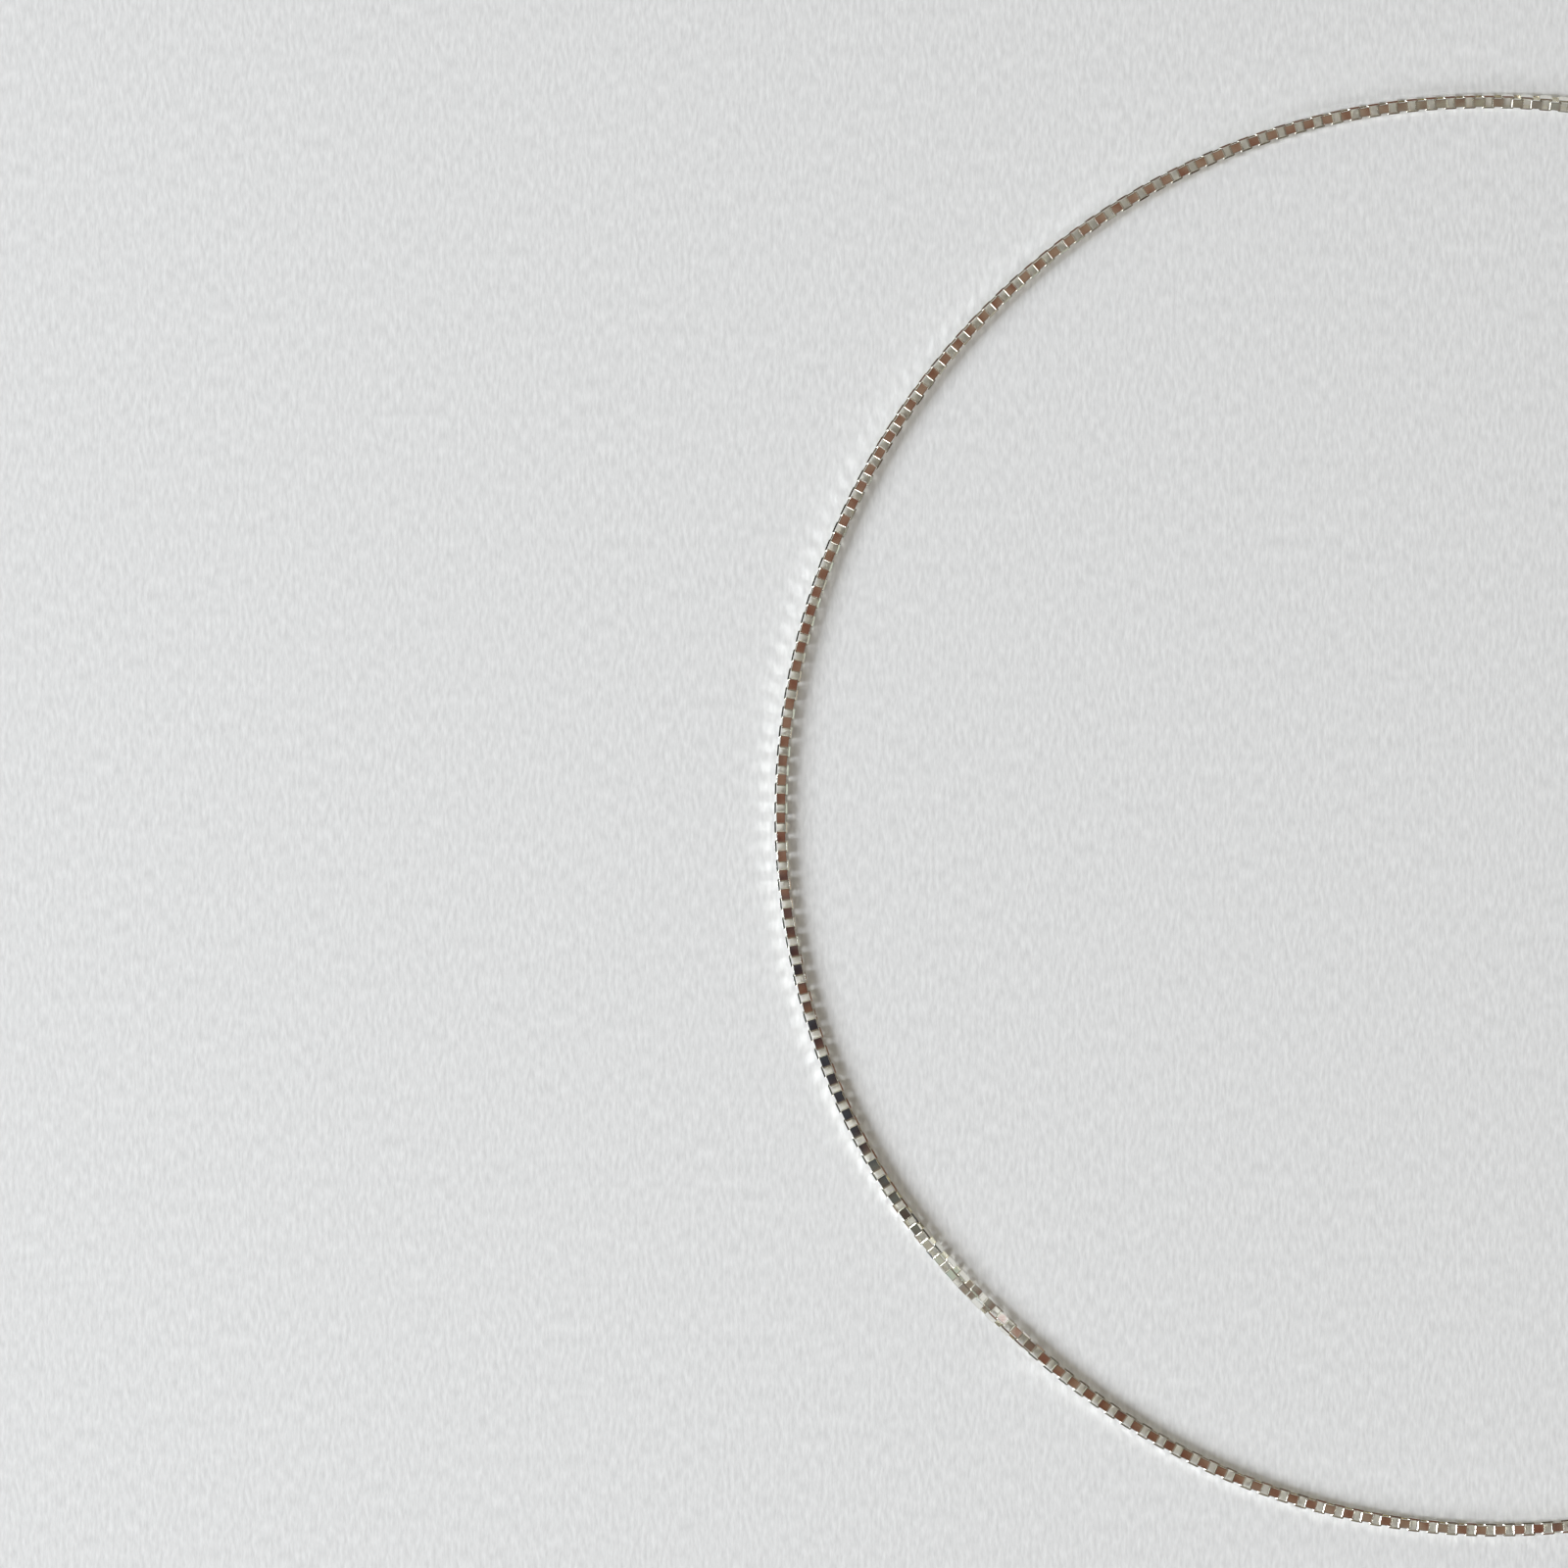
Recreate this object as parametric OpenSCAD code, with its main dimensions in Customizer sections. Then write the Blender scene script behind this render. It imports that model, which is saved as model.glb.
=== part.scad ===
// Box chain necklace that lies in one open loop on a flat surface.
// Millimetres, +Z up. The origin is the middle of the outline, on that surface.
// Turns are degrees around the middle of the loop: 0 is +X, where the clasp is, and 180 is
// the middle of the front.

/* [Link] */
// Outer side of one square link
link_side = 1.3; // [0.9:0.05:3]
// Thickness of the flat strip that a link is bent from
strip_t = 0.12; // [0.08:0.01:0.2]
// Outer radius of the four bends of a link, sharp on their inner side
bend_r = 0.16; // [0.1:0.01:0.3]
// Flat facets that make up one bend
bend_facets = 2; // [1:1:3]

/* [Fit of the links] */
// Space between the edge of a strip and the link that it passes through
edge_gap = 0.15; // [0.1:0.01:0.2]
// Play along the chain between two links
play = 0.11; // [0.05:0.01:0.2]

/* [Loop] */
// Diameter of the loop as it lies, between middles of the chain
loop_d = 142.5; // [110:0.5:260]
// Degrees of the loop, to each side of its front, where links are modelled one by one
front_deg = 91.4; // [20:0.1:92]
// Space from a plain stretch of chain to the link next to it
join_gap = 0.15; // [0.1:0.01:0.4]

/* [Clasp] */
// Outer diameter of the ring of the clasp
ring_d = 5.5; // [5:0.1:9]
// Diameter of the wire of that ring
ring_wire = 1.2; // [0.8:0.05:1.6]
// Outer diameter of the eye at each end of the clasp
eye_d = 2.5; // [2.2:0.1:3.5]
// Diameter of the wire of an eye
eye_wire = 0.5; // [0.3:0.05:0.6]
// Depth that an eye is soldered into the ring
eye_seat = 0.4; // [0.3:0.05:0.5]
// Play along the chain between the last link and the wire of the eye that it hangs in
eye_play = 0.2; // [0.18:0.01:0.3]

/* [Hidden] */
// The loop isn't quite a circle. Columns: turn, radius as a share of the loop's radius.
ROUTE = [
    [0, 0.997], [30, 0.996], [60, 0.993], [75, 0.991], [90, 0.991], [105, 0.997],
    [120, 0.998], [150, 1.000], [180, 1.002], [210, 1.001], [220, 0.993], [230, 0.990],
    [240, 0.994], [255, 0.999], [285, 1.000], [330, 0.998], [360, 0.997]
];
// The chain is twisted along the loop. Columns: turn, roll in degrees, inner side up.
ROLL = [
    [80, -45], [86, -30], [92, -15], [105, -9], [145, -9], [170, -3], [186, 0], [198, 0],
    [209, 4], [214, 13], [223, 47], [228, 78], [231, 90], [250, 93], [268, 94], [276, 80]
];
// Half the width, in degrees, over which each table is evened out
ROUTE_EASE_DEG = 6;
ROLL_EASE_DEG = 1;
// Samples that are averaged over that width
EASE_SAMPLES = 5;
// The turn of the middle of the front, and of a whole loop
FRONT = 180;
FULL = 360;
// Each link is turned by a quarter against the one before
QUARTER = 90;
// Sides of a plain stretch of chain
TUBE_SIDES = 8;
// Its rings are this many widths of the chain apart
TUBE_RING_RATIO = 2.6;
// Fineness of the clasp's round wires
WIRE_FN = 24;
RING_FN = 64;
SILVER = [0.80, 0.79, 0.76];

loop_r = loop_d / 2;
strip_w = link_side - 2 * strip_t - 2 * edge_gap;
pitch = link_side - 2 * strip_t - play;
chain_r = link_side / 2;

function sum(list, i = 0) = i < len(list) ? list[i] + sum(list, i + 1) : 0;
function eased(table, turn, ease) =
    sum([for (i = [0 : EASE_SAMPLES - 1])
        lookup(turn + ease * (2 * i / (EASE_SAMPLES - 1) - 1), table)]) / EASE_SAMPLES;
function route_r(turn) = loop_r * eased(ROUTE, turn, ROUTE_EASE_DEG);
function roll(turn) = eased(ROLL, turn, ROLL_EASE_DEG);

// The middle of each eye, and of the last link, which hangs in the eye: its end wall lies in
// the eye's hole, and its flat inner side stops short of the curved wire
eye_y = ring_d / 2 + eye_d / 2 - eye_seat;
eye_hole_r = eye_d / 2 - eye_wire;
wall_reach = sqrt(pow(eye_hole_r, 2) - pow(strip_w / 2, 2)) - eye_play;
last_link_y = eye_y + wall_reach + link_side / 2 - strip_t;
last_link_turn = asin(last_link_y / route_r(0));
clasp_x = route_r(0) * cos(last_link_turn);

// The middle of the outline is the origin
middle_x = (clasp_x + ring_d / 2 - route_r(FRONT) - chain_r) / 2;
middle_y = (route_r(90) - route_r(270)) / 2;

function route_point(turn) =
    [route_r(turn) * cos(turn) - middle_x, route_r(turn) * sin(turn) - middle_y];
function heading(turn) =
    let (ahead = route_point(turn + 1) - route_point(turn - 1)) atan2(ahead.y, ahead.x);
function turns_of(length, turn) = FULL * length / (2 * PI * route_r(turn));

// Height of the chain's middle over the surface, so that a rolled link just touches it
function rest_height(angle) =
    link_side / 2 * max(abs(cos(angle)), abs(sin(angle)))
    + strip_w / 2 * min(abs(cos(angle)), abs(sin(angle)));

// The turn of each link at the front, one pitch after another
front_turns = [
    for (turn = FRONT - front_deg; turn < FRONT + front_deg; turn = turn + turns_of(pitch, turn))
        turn
];
front_first = front_turns[0];
front_last = front_turns[len(front_turns) - 1];

// A square with round corners, as the points of its outline
function rounded_square(side, radius) = [
    for (corner = [0 : 3], i = [0 : bend_facets])
        let (
            middle = side / 2 - radius,
            out = QUARTER * (corner + i / bend_facets),
            way = QUARTER * (corner + 1 / 2)
        )
        [
            middle * sqrt(2) * cos(way) + radius * cos(out),
            middle * sqrt(2) * sin(way) + radius * sin(out)
        ]
];

// One link: a strip bent into a square. The hole runs along Z, and the chain along X.
module link() {
    linear_extrude(strip_w, center = true) difference() {
        polygon(rounded_square(link_side, bend_r));
        square(link_side - 2 * strip_t, center = true);
    }
}

// Puts its children in the chain at a turn, rolled about the chain's own line
module on_route(turn, angle) {
    place = route_point(turn);
    translate([place.x, place.y, rest_height(angle)])
        rotate([0, 0, heading(turn)])
            rotate([angle + QUARTER, 0, 0])
                children();
}

// A smooth stretch of chain with the chain's width, from one turn to another
module plain_chain(from_turn, to_turn) {
    rings = ceil(abs(to_turn - from_turn) / turns_of(TUBE_RING_RATIO * link_side, 0));
    corner_r = chain_r / cos(FULL / TUBE_SIDES / 2);
    points = [
        for (i = [0 : rings])
            let (
                turn = from_turn + (to_turn - from_turn) * i / rings,
                place = route_point(turn),
                out = heading(turn) - QUARTER
            )
            for (side = [0 : TUBE_SIDES - 1])
                let (around = FULL * (side + 0.5) / TUBE_SIDES)
                [
                    place.x + corner_r * cos(around) * cos(out),
                    place.y + corner_r * cos(around) * sin(out),
                    chain_r + corner_r * sin(around)
                ]
    ];
    walls = [
        for (i = [0 : rings - 1], side = [0 : TUBE_SIDES - 1])
            let (
                a = i * TUBE_SIDES + side,
                b = i * TUBE_SIDES + (side + 1) % TUBE_SIDES
            )
            each [[a, b, a + TUBE_SIDES], [b, b + TUBE_SIDES, a + TUBE_SIDES]]
    ];
    first_end = [for (side = [TUBE_SIDES - 1 : -1 : 0]) side];
    last_end = [for (side = [0 : TUBE_SIDES - 1]) rings * TUBE_SIDES + side];
    polyhedron(points, concat([first_end], walls, [last_end]));
}

// A round wire bent into a flat ring about Z
module wire_ring(outer_d, wire_d) {
    rotate_extrude($fn = RING_FN)
        translate([(outer_d - wire_d) / 2, 0])
            circle(d = wire_d, $fn = WIRE_FN);
}

// The links of the front, each turned a quarter against the one before
module chain_front() {
    color(SILVER)
        for (i = [0 : len(front_turns) - 1])
            on_route(front_turns[i], roll(front_turns[i]) + QUARTER * (i % 2))
                link();
}

// The two strands from the front to the clasp: plain stretches, and the last link of each
module chain_back() {
    past_link = turns_of(chain_r + join_gap, 0);
    color(SILVER) {
        on_route(last_link_turn, 0) link();
        plain_chain(last_link_turn + past_link, front_first - past_link);
        plain_chain(front_last + past_link, FULL - last_link_turn - past_link);
        on_route(FULL - last_link_turn, 0) link();
    }
}

// A plain ring clasp with an eye for each end of the chain
module clasp() {
    color(SILVER)
        translate([clasp_x - middle_x, -middle_y, 0]) {
            translate([0, 0, ring_wire / 2]) wire_ring(ring_d, ring_wire);
            for (end = [-1, 1])
                translate([0, end * eye_y, chain_r]) wire_ring(eye_d, eye_wire);
        }
}

chain_front();
chain_back();
clasp();
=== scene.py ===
"""A silver box chain that lies in one open loop on pale paper.

Metres, +Z up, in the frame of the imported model. Turns are degrees around the middle of the
loop: 0 is +X, where the clasp is, and 180 is the middle of the front.
"""

import math

import bpy
import numpy as np
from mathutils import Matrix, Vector


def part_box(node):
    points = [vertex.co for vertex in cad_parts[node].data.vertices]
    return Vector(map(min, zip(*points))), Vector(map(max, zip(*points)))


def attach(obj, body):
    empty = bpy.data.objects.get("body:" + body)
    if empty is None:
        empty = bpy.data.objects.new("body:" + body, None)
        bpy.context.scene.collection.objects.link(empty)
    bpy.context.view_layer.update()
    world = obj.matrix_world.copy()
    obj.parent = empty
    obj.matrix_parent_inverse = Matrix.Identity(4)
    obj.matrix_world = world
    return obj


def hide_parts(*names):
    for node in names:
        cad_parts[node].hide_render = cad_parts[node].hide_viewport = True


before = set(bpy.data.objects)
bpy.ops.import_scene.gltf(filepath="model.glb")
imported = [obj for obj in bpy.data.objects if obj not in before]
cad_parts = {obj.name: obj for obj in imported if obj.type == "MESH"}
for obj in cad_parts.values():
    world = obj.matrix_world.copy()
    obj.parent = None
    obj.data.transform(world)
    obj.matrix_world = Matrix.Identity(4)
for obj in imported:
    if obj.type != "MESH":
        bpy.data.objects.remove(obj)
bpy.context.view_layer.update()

FULL = 360
FRONT = 180
QUARTER = 90

# The chain as it is laid, and the degrees to each side of its front that are the front's
LOOP_D = 0.1425
FRONT_DEG = 91.4
LINK_SIDE = 0.0013
PITCH = 0.00095
# Columns: turn, radius as a share of the loop's radius
ROUTE = [
    (0, 0.997), (30, 0.996), (60, 0.993), (75, 0.991), (90, 0.991), (105, 0.997),
    (120, 0.998), (150, 1.000), (180, 1.002), (210, 1.001), (220, 0.993), (230, 0.990),
    (240, 0.994), (255, 0.999), (285, 1.000), (330, 0.998), (360, 0.997),
]
# Columns: turn, roll of the chain in degrees, inner side up
ROLL = [
    (60, -90), (80, -45), (86, -30), (92, -15), (105, -9), (145, -9), (170, -3), (186, 0),
    (190, 1.5), (198, 2.4), (209, 4), (214, 13), (223, 47), (228, 78), (231, 90), (250, 93),
    (268, 94), (276, 80), (285, 90),
]
# Half the width, in degrees, over which each table is evened out, and the samples over it
ROUTE_EASE_DEG = 6
ROLL_EASE_DEG = 1
EASE_SAMPLES = 5
# Points that a stretch of the chain's line is measured with
LINE_SAMPLES = 800

# One link, a flat strip bent into a square
LINK_CORNERS = 4
STRIP_W = 0.00092
STRIP_T = 0.000165
BEND_R = 0.000175
EDGE_R = 0.000007
# The wide faces of the strip are domed: next to its edges, they slope by this many degrees
DOME_DEG = 0.4
# The sides of a link are pillowed: where they meet the bends, they slope by this many degrees
PILLOW_DEG = 0.6
# The strip's edges slope towards its outer side by this many degrees: along the sides of the
# chain, and at the ends of a link. The power sets how late in a bend the slope changes.
SIDE_SLOPE_DEG = 12
END_SLOPE_DEG = 27
SLOPE_POWER = 2.5
# How far the links press into the paper
PRESS = 0.00001
# Points around one bend, and around one rounded edge of the strip
BEND_POINTS = 6
EDGE_POINTS = 3

# How far single links may lie off the chain's own line, in degrees
LOOSE_ROLL = 0.9
LOOSE_YAW = 0.6
LOOSE_PITCH = 1.5
SEED = 11

# Clasp: a ring with two eyes soldered on
RING_D = 0.0055
RING_WIRE = 0.0012
EYE_D = 0.0025
EYE_WIRE = 0.0005
EYE_SEAT = 0.0004
# Points around each ring, and around its wire
RING_POINTS = (128, 32)
EYE_POINTS = (72, 24)
# The solder joins them in steps of this size, and is then smoothed this often by this share
SOLDER_VOXEL = 0.00006
FILLET_ROUNDS = 6
FILLET_SHARE = 0.5
# Play between an end link and its eye
EYE_PLAY = 0.0002
# The solid model's strip is thinner and narrower, and sets where the end links hang
SOLID_STRIP_W = 0.00076
SOLID_STRIP_T = 0.00012
# Links from an end of the front to the clasp, on either strand
BACK_STEPS = 111

# The photo's framing: its scale is the loop's width over the pixels that it spans
PHOTO_SIDE_PX = 1600
LOOP_PX = 1464
LOOP_MIDDLE_PX = (1530.0, 829.2)
METRES_PER_PX = LOOP_D / LOOP_PX
LENS_MM = 200
SENSOR_MM = 36
CLIP_START = 0.01
CLIP_END = 10

# Silver: its own colour and a warmer tone that links take at random, then painted shade: darker
# along the strip's edges, and warmer and a little darker on its inner side
SILVER_LIGHT = (0.95, 0.94, 0.89, 1)
SILVER_WARM = (0.91, 0.89, 0.82, 1)
SILVER_EDGE_SHADE = (0.66, 0.65, 0.61, 1)
SILVER_INSIDE_SHADE = (0.93, 0.91, 0.83, 1)
# The share of the way out to an edge where the painted edge shade starts, and its least strength
EDGE_FROM = 0.70
EDGE_LEAST = 0.75
# Where the inner side's painted shade starts and ends, from 0 outside to 1 inside
INSIDE_FROM, INSIDE_TO = 0.4, 0.9
# Roughness, and the share by which that of the faces goes up and down
FACE_ROUGH = 0.075
EDGE_ROUGH = 0.09
ROUGH_SPREAD = 0.3
# Clouds of more and less polish, and a fine grain. Scales are cells per metre.
CLOUD_SCALE = 1800.0
CLOUD_DETAIL = 4.0
CLOUD_LOW, CLOUD_HIGH = 0.3, 0.7
GRAIN_SCALE = 12000.0
GRAIN_DETAIL = 3.0
SILVER_NOISE_ROUGHNESS = 0.6
GRAIN_STRENGTH = 0.25
GRAIN_DEPTH = 0.000004

# Paper, with fibres that are longer up and down the sheet
PAPER_LIGHT = (0.88, 0.88, 0.88, 1)
PAPER_DARK = (0.72, 0.72, 0.72, 1)
PAPER_ROUGH = 0.9
PAPER_SHINE = 0.2
FIBRE_SCALE = 2800.0
FIBRE_STRETCH = 0.27
FIBRE_DETAIL = 2.0
FIBRE_ROUGHNESS = 0.5
FIBRE_LOW, FIBRE_HIGH = 0.25, 0.75
FIBRE_STRENGTH = 0.6
FIBRE_DEPTH = 0.00004
FLOOR_HALF = 4.0
FLOOR_Z = -0.00002

# What the silver mirrors: a sky dome that is dark overhead and pale near the horizon, with
# patches. Both radii are shares of the dome's, seen from above.
OVERHEAD = (0.12, 0.10, 0.085)
OVERHEAD_RADIUS = 0.62
HORIZON = (0.25, 0.215, 0.185)
HORIZON_RADIUS = 0.92
# The horizon is brighter towards this azimuth in degrees: from where to where, as shares of the
# dome's radius, and how bright
BRIGHT_AZIMUTH = 128
BRIGHT_FROM, BRIGHT_TO = 0.25, 0.75
BRIGHT_HORIZON = (0.90, 0.85, 0.77)
# Columns: middle of the patch as the X and Y of its direction, half its width and height,
# softness of its edge, and colour
PATCHES = [
    ((-0.34, 0.08), (0.29, 0.44), 0.12, (0.034, 0.032, 0.029)),
    ((0.97, -0.05), (0.10, 0.16), 0.06, (0.85, 0.80, 0.72)),
    ((0.45, 0.42), (0.16, 0.12), 0.08, (0.40, 0.29, 0.24)),
    ((0.57, 0.57), (0.10, 0.10), 0.04, (0.96, 0.98, 1.00)),
    ((-0.63, -0.57), (0.16, 0.16), 0.12, (0.400, 0.370, 0.310)),
    ((-0.724, -0.675), (0.022, 0.022), 0.01, (0.100, 0.160, 0.270)),
    ((0.03, -0.40), (0.26, 0.36), 0.15, (0.230, 0.180, 0.140)),
    ((0.13, -0.02), (0.27, 0.22), 0.12, (0.210, 0.105, 0.074)),
    ((0.20, -0.20), (0.16, 0.15), 0.12, (0.225, 0.130, 0.092)),
    ((0.46, -0.12), (0.10, 0.40), 0.06, (0.64, 0.61, 0.54)),
    ((-0.26, -0.28), (0.20, 0.18), 0.15, (0.110, 0.100, 0.090)),
    ((-0.15, -0.058), (0.145, 0.110), 0.03, (0.044, 0.043, 0.052)),
    ((-0.01, -0.11), (0.07, 0.08), 0.04, (0.190, 0.100, 0.066)),
    ((-0.012, -0.022), (0.050, 0.040), 0.02, (0.094, 0.048, 0.044)),
]
# The sky is mottled: the size of the mottling, as cells across half the dome, where it turns
# from one colour to the other, and the two colours that it multiplies the sky by
MOTTLE_SCALE = 18.0
MOTTLE_DETAIL = 2.0
MOTTLE_ROUGHNESS = 0.5
MOTTLE_LOW, MOTTLE_HIGH = 0.40, 0.60
MOTTLE_DIM = (0.68, 0.48, 0.44)
MOTTLE_BRIGHT = (1.26, 1.56, 1.60)

# Two soft windows. Columns: name, azimuth and elevation in degrees, width, height, power in
# watts, and colour
WINDOW_DISTANCE = 2.0
WINDOWS = [
    ("window", 188, 35, 0.44, 1.15, 33.6, (0.89, 0.94, 1.0)),
    ("second_window", 244, 36, 0.72, 1.0, 10.6, (0.96, 0.98, 1.0)),
]
# Light that comes back off the silver goes on through many mirrored bounces
MAX_BOUNCES = 24
MIRROR_BOUNCES = 16

loop_r = LOOP_D / 2
half_link = LINK_SIDE / 2
eye_y = RING_D / 2 + EYE_D / 2 - EYE_SEAT


def unit(degrees):
    """The unit vector at an angle."""
    a = math.radians(degrees)
    return np.array([math.cos(a), math.sin(a)])


def eased(table, turn, ease):
    """A table's value at a turn, evened out over a few samples to each side."""
    turns, values = np.array(table, float).T
    return np.interp(turn + ease * np.linspace(-1, 1, EASE_SAMPLES), turns, values).mean()


def route_r(turn):
    return loop_r * eased(ROUTE, turn, ROUTE_EASE_DEG)


def roll(turn):
    return eased(ROLL, turn, ROLL_EASE_DEG)


# The frame says where the chain's outline is, and its middle is the origin. The clasp's own
# box gives the middle of the ring.
clasp_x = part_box("clasp")[1].x - RING_D / 2
middle_x = -(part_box("chain_front")[0].x + half_link + route_r(FRONT))
middle_y = (route_r(QUARTER) - route_r(3 * QUARTER)) / 2


def route_point(turn):
    return route_r(turn) * unit(turn) - np.array([middle_x, middle_y])


def pitch_after(turn):
    """The turn of the next link along the chain."""
    return turn + math.degrees(PITCH / route_r(turn))


def turns_between(first, last, steps):
    """Turns that cut the chain from first to last into steps of equal length."""
    fine = np.linspace(first, last, LINE_SAMPLES)
    points = np.array([route_point(t) for t in fine])
    along = np.r_[0, np.cumsum(np.linalg.norm(np.diff(points, axis=0), axis=1))]
    return np.interp(np.linspace(0, along[-1], steps + 1), along, fine)


def outer_high(slope):
    """Half the width of the strip's outer face, between edges that slope by so many degrees."""
    return STRIP_W / 2 - EDGE_R - (STRIP_T - 2 * EDGE_R) * math.tan(math.radians(slope))


def rest_height(angle):
    """Height of the chain's middle over the floor, so that a rolled link lies on it."""
    c, s = np.abs(unit(angle))
    flat = half_link - EDGE_R
    return flat * max(c, s) + outer_high(SIDE_SLOPE_DEG) * min(c, s) + EDGE_R - PRESS


def rounded_edge(u, v, first, last):
    """Points and normals of one rounded edge of the strip, from one angle to another."""
    edge = []
    for angle in np.radians(np.linspace(first, last, EDGE_POINTS)):
        normal = (math.cos(angle), math.sin(angle))
        edge.append(((u + EDGE_R * normal[0], v + EDGE_R * normal[1]), normal))
    return edge


def strip_section(slope):
    """Points and normals of the strip's cross-section.

    Each has a measure out of the link first and one along its hole second. slope is the angle
    in degrees by which both edges fall off towards the outside.
    """
    flat = STRIP_T / 2 - EDGE_R
    inner, outer = STRIP_W / 2 - EDGE_R, outer_high(slope)
    dome = outer * math.tan(math.radians(DOME_DEG / 2))
    return [
        *rounded_edge(flat - dome, outer, DOME_DEG, QUARTER - slope),
        *rounded_edge(dome - flat, inner, QUARTER - slope, 2 * QUARTER - DOME_DEG),
        ((-STRIP_T / 2, 0.0), (-1.0, 0.0)),
        *rounded_edge(dome - flat, -inner, 2 * QUARTER + DOME_DEG, 3 * QUARTER + slope),
        *rounded_edge(flat - dome, -outer, 3 * QUARTER + slope, FULL - DOME_DEG),
        ((STRIP_T / 2, 0.0), (1.0, 0.0)),
    ]


def link_path():
    """The middle line of a link's strip, once around: places, and the way out of the link."""
    middle_half = half_link - STRIP_T / 2
    corner_r = BEND_R - STRIP_T / 2
    flat_half = middle_half - corner_r
    sag = flat_half * math.tan(math.radians(PILLOW_DEG / 2))
    path = []
    for corner in range(LINK_CORNERS):
        centre = (flat_half - sag) * math.sqrt(2) * unit(QUARTER * (corner + 0.5))
        for i in range(BEND_POINTS):
            share = i / (BEND_POINTS - 1)
            out = unit(QUARTER * corner + PILLOW_DEG + (QUARTER - 2 * PILLOW_DEG) * share)
            path.append((centre + corner_r * out, out))
        out = unit(QUARTER * (corner + 1))
        path.append((middle_half * out, out))
    return path


def closed_grid(around, across, start=0):
    """Faces between points that go around a ring, and at each step across its wire or strip."""
    faces = []
    for i in range(around):
        here, there = start + i * across, start + (i + 1) % around * across
        for k in range(across):
            m = (k + 1) % across
            faces.append((here + k, there + k, there + m, here + m))
    return faces


def link_template():
    """Points, normals, painted-shade weights and faces of one link. Its hole runs along Z, the
    chain along X.

    The painted-shade weights of a point are two numbers: 0 in the middle of the strip's wide
    faces and 1 at their edges, then 0 on the strip's outer side and 1 on its inner side. They set
    where the silver is painted darker at the edges and warmer on the inner side.
    """
    points, normals, shade_and_tone = [], [], []
    path = link_path()
    for place, out in path:
        late = abs(out[0]) ** SLOPE_POWER
        section = strip_section(SIDE_SLOPE_DEG + (END_SLOPE_DEG - SIDE_SLOPE_DEG) * late)
        for (u, v), (normal_u, normal_v) in section:
            points.append([*(place + u * out), v])
            normals.append([*(normal_u * out), normal_v])
            shade_and_tone.append([float(v != 0), float(u < 0)])
    faces = closed_grid(len(path), len(section))
    return np.array(points), np.array(normals), np.array(shade_and_tone), np.array(faces)


def turned(axis, degrees):
    """The matrix that turns a point about the frame's X, Y or Z."""
    c, s = unit(degrees)
    i, j = {"X": (1, 2), "Y": (2, 0), "Z": (0, 1)}[axis]
    matrix = np.eye(3)
    matrix[i, i] = matrix[j, j] = c
    matrix[i, j], matrix[j, i] = -s, s
    return matrix


def add_object(name, data):
    made = bpy.data.objects.new(name, data)
    bpy.context.scene.collection.objects.link(made)
    return made


def chain_mesh(name, links):
    """One mesh of interlocked links.

    Each link is its number along the chain, its turn, and whether it lies loose, a little off
    the chain's own line.
    """
    points, normals, shade_and_tone, faces = link_template()
    rng = np.random.default_rng([SEED, len(links)])
    all_points, all_normals, all_shade_and_tone, all_faces = [], [], [], []
    for number, turn, is_loose in links:
        loose = rng.uniform(-1, 1, 3) * is_loose
        tone = rng.random()
        ahead = route_point(turn + 1) - route_point(turn - 1)
        heading = math.degrees(math.atan2(ahead[1], ahead[0]))
        angle = roll(turn) + QUARTER * (number % 2)
        rotation = (
            turned("Z", heading + LOOSE_YAW * loose[0])
            @ turned("Y", LOOSE_PITCH * loose[1])
            @ turned("X", angle + QUARTER + LOOSE_ROLL * loose[2])
        )
        place = np.array([*route_point(turn), rest_height(roll(turn))])
        all_faces.append(faces + len(points) * len(all_points))
        all_points.append(points @ rotation.T + place)
        all_normals.append(normals @ rotation.T)
        all_shade_and_tone.append(np.c_[shade_and_tone, np.full(len(points), tone), np.ones(len(points))])
    mesh = bpy.data.meshes.new(name)
    mesh.from_pydata(np.concatenate(all_points).tolist(), [], np.concatenate(all_faces).tolist())
    mesh.shade_smooth()
    mesh.normals_split_custom_set_from_vertices(np.concatenate(all_normals).tolist())
    # The painted-shade weights of a point, and the tone of its link
    attribute = mesh.attributes.new("shade_and_tone", "FLOAT_COLOR", "POINT")
    attribute.data.foreach_set("color", np.concatenate(all_shade_and_tone).astype(np.float32).ravel())
    return mesh


def chain_piece(name, node, links):
    """The links that take the place of one of the model's two stretches of chain."""
    piece = add_object(name, chain_mesh(name, links))
    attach(piece, "root")
    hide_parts(node)
    return piece


def wire_ring(points, faces, centre, outer_d, wire_d, counts):
    """Adds a round wire bent into a flat ring to lists of points and faces."""
    around, across = counts
    faces += closed_grid(around, across, len(points))
    x, y, z = centre
    small = wire_d / 2
    big = (outer_d - wire_d) / 2
    for i in range(around):
        a = 2 * math.pi * i / around
        for k in range(across):
            b = 2 * math.pi * k / across
            r = big + small * math.cos(b)
            points.append((x + r * math.cos(a), y + r * math.sin(a), z + small * math.sin(b)))


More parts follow.
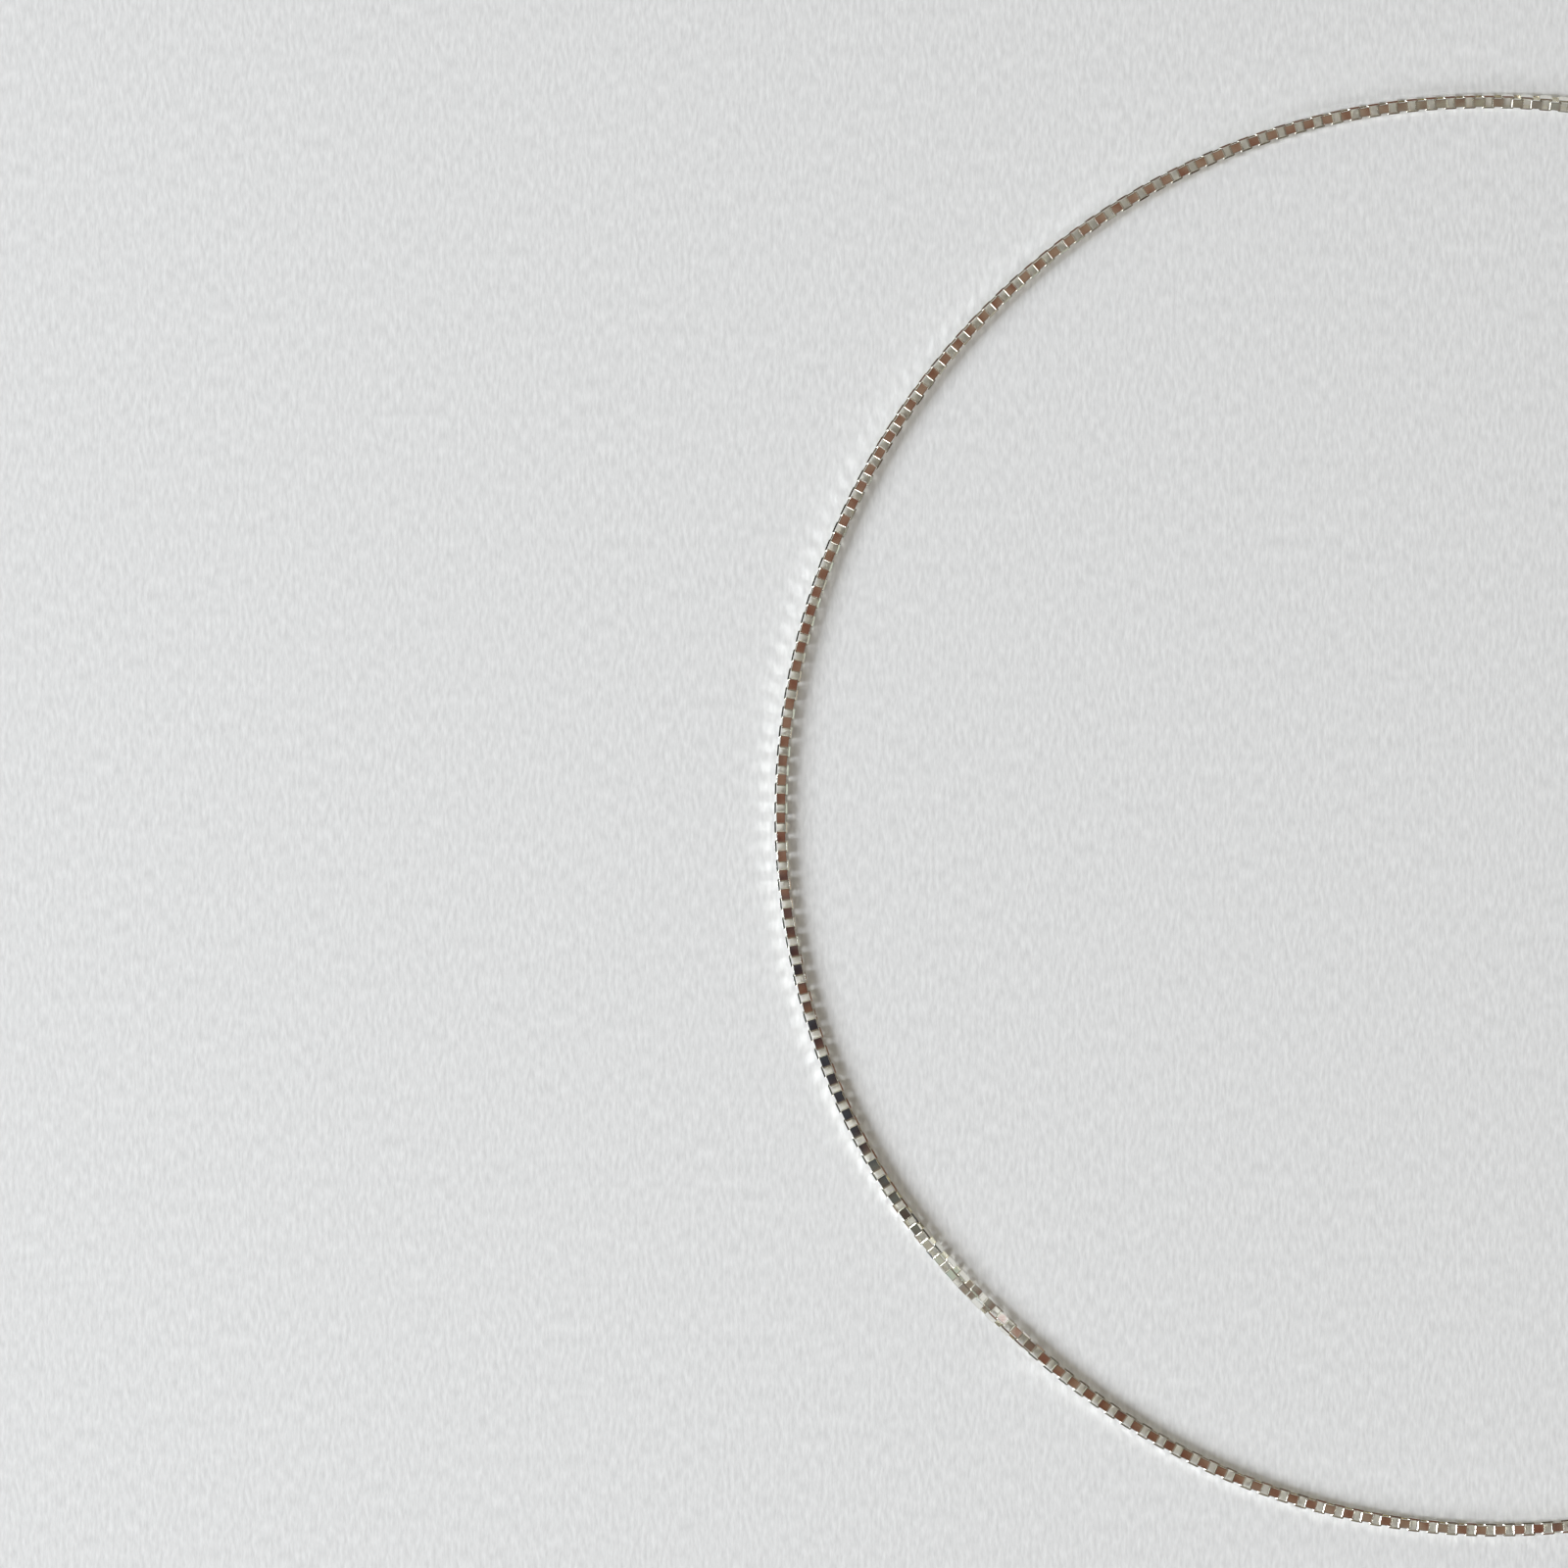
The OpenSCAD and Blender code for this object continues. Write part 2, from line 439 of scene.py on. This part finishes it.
def clasp_piece():
    """The clasp's ring with its two eyes, soldered into one with soft fillets."""
    points, faces = [], []
    ring_middle = (clasp_x, -middle_y, RING_WIRE / 2)
    wire_ring(points, faces, ring_middle, RING_D, RING_WIRE, RING_POINTS)
    for end in (-1, 1):
        eye_middle = (clasp_x, end * eye_y - middle_y, half_link)
        wire_ring(points, faces, eye_middle, EYE_D, EYE_WIRE, EYE_POINTS)
    mesh = bpy.data.meshes.new("clasp_ring")
    mesh.from_pydata(points, [], faces)
    piece = add_object("clasp_ring", mesh)
    solder = piece.modifiers.new("solder", "REMESH")
    solder.mode = "VOXEL"
    solder.voxel_size = SOLDER_VOXEL
    fillet = piece.modifiers.new("fillet", "SMOOTH")
    fillet.factor = FILLET_SHARE
    fillet.iterations = FILLET_ROUNDS
    evaluated = piece.evaluated_get(bpy.context.evaluated_depsgraph_get())
    solid = bpy.data.meshes.new_from_object(evaluated)
    piece.modifiers.clear()
    piece.data = solid
    solid.name = "clasp_ring"
    solid.shade_smooth()
    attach(piece, "root")
    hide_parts("clasp")
    return piece


def add_node(tree, kind, inputs=None, **settings):
    """A new shader node. inputs maps a socket's name or number to a value or to an output."""
    node = tree.nodes.new(kind)
    for name, value in settings.items():
        setattr(node, name, value)
    for key, value in (inputs or {}).items():
        if isinstance(value, bpy.types.NodeSocket):
            tree.links.new(value, node.inputs[key])
        else:
            node.inputs[key].default_value = value
    return node


def new_material(name):
    material = bpy.data.materials.new(name)
    material.use_nodes = True
    tree = material.node_tree
    tree.nodes.clear()
    return material, tree


def vector_math(tree, operation, *values, output="Vector"):
    inputs = dict(enumerate(values))
    return add_node(tree, "ShaderNodeVectorMath", inputs, operation=operation).outputs[output]


def product(tree, *values):
    inputs = dict(enumerate(values))
    return add_node(tree, "ShaderNodeMath", inputs, operation="MULTIPLY").outputs[0]


def ramp(tree, value, low, high, to_low=0.0, to_high=1.0, smooth=False):
    """The value mapped from low..high onto to_low..to_high, and held there outside."""
    return add_node(tree, "ShaderNodeMapRange", {
        "Value": value, "From Min": low, "From Max": high, "To Min": to_low, "To Max": to_high,
    }, interpolation_type="SMOOTHSTEP" if smooth else "LINEAR").outputs["Result"]


def mix(tree, factor, a, b, kind="RGBA"):
    inputs = {"Factor": factor, "A": a, "B": b}
    return add_node(tree, "ShaderNodeMix", inputs, data_type=kind).outputs["Result"]


def noise(tree, place, scale, detail, roughness):
    return add_node(tree, "ShaderNodeTexNoise", {
        "Vector": place, "Scale": scale, "Detail": detail, "Roughness": roughness,
    }).outputs["Fac"]


def silver(name):
    """Polished silver, toned link by link, with painted shade: darker at the strip's edges,
    warmer on its inner side.

    The clasp has no painted-shade weights of its own, so it is all the light, unshaded silver.
    """
    material, tree = new_material(name)
    place = add_node(tree, "ShaderNodeTexCoord").outputs["Object"]
    shade_and_tone = add_node(tree, "ShaderNodeAttribute", attribute_name="shade_and_tone").outputs["Vector"]
    shade_and_tone = add_node(tree, "ShaderNodeSeparateXYZ", {"Vector": shade_and_tone}).outputs
    clouds = noise(tree, place, CLOUD_SCALE, CLOUD_DETAIL, SILVER_NOISE_ROUGHNESS)
    grain = noise(tree, place, GRAIN_SCALE, GRAIN_DETAIL, SILVER_NOISE_ROUGHNESS)
    # Painted shade: the silver's colour is darkened towards the strip's edges, unevenly with the
    # clouds. The same mask also makes the edges rougher.
    edge = ramp(tree, shade_and_tone["X"], EDGE_FROM, 1.0, smooth=True)
    edge_shade_and_roughness = product(tree, edge, ramp(tree, clouds, CLOUD_LOW, CLOUD_HIGH, EDGE_LEAST, 1.0))
    unshaded_tone = mix(tree, shade_and_tone["Z"], SILVER_LIGHT, SILVER_WARM)
    edge_shaded = mix(tree, edge_shade_and_roughness, unshaded_tone, SILVER_EDGE_SHADE)
    # Painted shade: the links' inner faces, in their hollows, are warmer and a little darker
    colour = mix(tree, ramp(tree, shade_and_tone["Y"], INSIDE_FROM, INSIDE_TO), edge_shaded, SILVER_INSIDE_SHADE)
    smoothest, roughest = FACE_ROUGH * (1 - ROUGH_SPREAD), FACE_ROUGH * (1 + ROUGH_SPREAD)
    polish = ramp(tree, clouds, CLOUD_LOW, CLOUD_HIGH, smoothest, roughest)
    bump = add_node(tree, "ShaderNodeBump", {
        "Strength": GRAIN_STRENGTH, "Distance": GRAIN_DEPTH, "Height": grain,
    })
    shader = add_node(tree, "ShaderNodeBsdfPrincipled", {
        "Base Color": colour, "Metallic": 1.0,
        "Roughness": mix(tree, edge_shade_and_roughness, polish, EDGE_ROUGH, kind="FLOAT"),
        "Normal": bump.outputs["Normal"],
    })
    add_node(tree, "ShaderNodeOutputMaterial", {"Surface": shader.outputs["BSDF"]})
    return material


def paper():
    """Pale rough paper with short fibres that run up and down the sheet."""
    material, tree = new_material("paper")
    place = add_node(tree, "ShaderNodeTexCoord").outputs["Object"]
    stretched = add_node(tree, "ShaderNodeMapping", {
        "Vector": place, "Scale": (1.0, FIBRE_STRETCH, 1.0),
    }).outputs["Vector"]
    fibres = noise(tree, stretched, FIBRE_SCALE, FIBRE_DETAIL, FIBRE_ROUGHNESS)
    bump = add_node(tree, "ShaderNodeBump", {
        "Strength": FIBRE_STRENGTH, "Distance": FIBRE_DEPTH, "Height": fibres,
    })
    raised = ramp(tree, fibres, FIBRE_LOW, FIBRE_HIGH)
    shader = add_node(tree, "ShaderNodeBsdfPrincipled", {
        "Base Color": mix(tree, raised, PAPER_DARK, PAPER_LIGHT), "Roughness": PAPER_ROUGH,
        "Specular IOR Level": PAPER_SHINE, "Normal": bump.outputs["Normal"],
    })
    add_node(tree, "ShaderNodeOutputMaterial", {"Surface": shader.outputs["BSDF"]})
    return material


def paper_floor():
    h, z = FLOOR_HALF, FLOOR_Z
    mesh = bpy.data.meshes.new("floor")
    mesh.from_pydata([(-h, -h, z), (h, -h, z), (h, h, z), (-h, h, z)], [], [(0, 1, 2, 3)])
    mesh.materials.append(paper())
    floor = add_object("floor", mesh)


def studio_world():
    """The sky dome, worked out from the X and Y of each direction."""
    world = bpy.data.worlds.new("studio")
    bpy.context.scene.world = world
    world.use_nodes = True
    tree = world.node_tree
    tree.nodes.clear()
    direction = add_node(tree, "ShaderNodeTexCoord").outputs["Generated"]
    flat = vector_math(tree, "MULTIPLY", direction, (1, 1, 0))
    radius = vector_math(tree, "LENGTH", flat, output="Value")
    brightest = (*unit(BRIGHT_AZIMUTH), 0)
    towards = vector_math(tree, "DOT_PRODUCT", flat, brightest, output="Value")
    bright = ramp(tree, towards, BRIGHT_FROM, BRIGHT_TO, smooth=True)
    horizon = mix(tree, bright, (*HORIZON, 1), (*BRIGHT_HORIZON, 1))
    outwards = ramp(tree, radius, OVERHEAD_RADIUS, HORIZON_RADIUS, smooth=True)
    colour = mix(tree, outwards, (*OVERHEAD, 1), horizon)
    for (x, y), (half_x, half_y), soft, patch in PATCHES:
        away = vector_math(tree, "SUBTRACT", flat, (x, y, 0))
        scaled = vector_math(tree, "MULTIPLY", away, (1 / half_x, 1 / half_y, 0))
        reach = vector_math(tree, "LENGTH", scaled, output="Value")
        edge = soft / min(half_x, half_y)
        mask = ramp(tree, reach, 1 + edge / 2, 1 - edge / 2, smooth=True)
        colour = mix(tree, mask, colour, (*patch, 1))
    mottle = ramp(
        tree, noise(tree, flat, MOTTLE_SCALE, MOTTLE_DETAIL, MOTTLE_ROUGHNESS),
        MOTTLE_LOW, MOTTLE_HIGH,
    )
    tint = mix(tree, mottle, (*MOTTLE_DIM, 1), (*MOTTLE_BRIGHT, 1))
    colour = vector_math(tree, "MULTIPLY", colour, tint)
    background = add_node(tree, "ShaderNodeBackground", {"Color": colour, "Strength": 1.0})
    add_node(tree, "ShaderNodeOutputWorld", {"Surface": background.outputs["Background"]})


def area_light(name, azimuth, elevation, width, height, power, colour):
    """A soft light that faces the loop."""
    data = bpy.data.lights.new(name, "AREA")
    data.shape = "RECTANGLE"
    data.size = width
    data.size_y = height
    data.energy = power
    data.color = colour
    a, e = math.radians(azimuth), math.radians(elevation)
    way = Vector((math.cos(a) * math.cos(e), math.sin(a) * math.cos(e), math.sin(e)))
    place = way * WINDOW_DISTANCE
    light = add_object(name, data)
    light.location = place
    light.rotation_mode = "QUATERNION"
    light.rotation_quaternion = (-place).to_track_quat("-Z", "Y")


def photo_camera():
    """Looks straight down on the left half of the loop, as the photo does."""
    data = bpy.data.cameras.new("camera")
    data.lens = LENS_MM
    data.sensor_width = SENSOR_MM
    data.clip_start = CLIP_START
    data.clip_end = CLIP_END
    camera = add_object("camera", data)
    across = PHOTO_SIDE_PX * METRES_PER_PX
    camera.location = (
        -middle_x + (PHOTO_SIDE_PX / 2 - LOOP_MIDDLE_PX[0]) * METRES_PER_PX,
        -middle_y - (PHOTO_SIDE_PX / 2 - LOOP_MIDDLE_PX[1]) * METRES_PER_PX,
        half_link + across * LENS_MM / SENSOR_MM,
    )
    bpy.context.scene.camera = camera


photo_camera()
paper_floor()
studio_world()
for window in WINDOWS:
    area_light(*window)

front_turns = [FRONT - FRONT_DEG]
while pitch_after(front_turns[-1]) < FRONT + FRONT_DEG:
    front_turns.append(pitch_after(front_turns[-1]))

# The end links hang in the clasp's eyes, a little clear of the wire
wall_reach = math.sqrt((EYE_D / 2 - EYE_WIRE) ** 2 - (SOLID_STRIP_W / 2) ** 2) - EYE_PLAY
end_link_y = eye_y + wall_reach + half_link - SOLID_STRIP_T
end_turn = math.degrees(math.asin(end_link_y / route_r(0)))
upper = turns_between(end_turn, front_turns[0], BACK_STEPS)[:-1]
lower = turns_between(front_turns[-1], FULL - end_turn, BACK_STEPS)[1:]

front_links = [(i, turn, True) for i, turn in enumerate(front_turns)]
back_links = [(i - BACK_STEPS, turn, i > 0) for i, turn in enumerate(upper)]
after_front = len(front_turns)
back_links += [(after_front + i, turn, i < BACK_STEPS - 1) for i, turn in enumerate(lower)]

chain_silver = silver("chain_silver")
clasp_silver = silver("clasp_silver")
chain_piece("front_links", "chain_front", front_links).data.materials.append(chain_silver)
chain_piece("back_links", "chain_back", back_links).data.materials.append(chain_silver)
clasp_piece().data.materials.append(clasp_silver)

bpy.context.scene.view_settings.view_transform = "Standard"
bpy.context.scene.cycles.max_bounces = MAX_BOUNCES
bpy.context.scene.cycles.glossy_bounces = MIRROR_BOUNCES
# What the silver mirrors stays sharp
bpy.context.scene.cycles.blur_glossy = 0.0
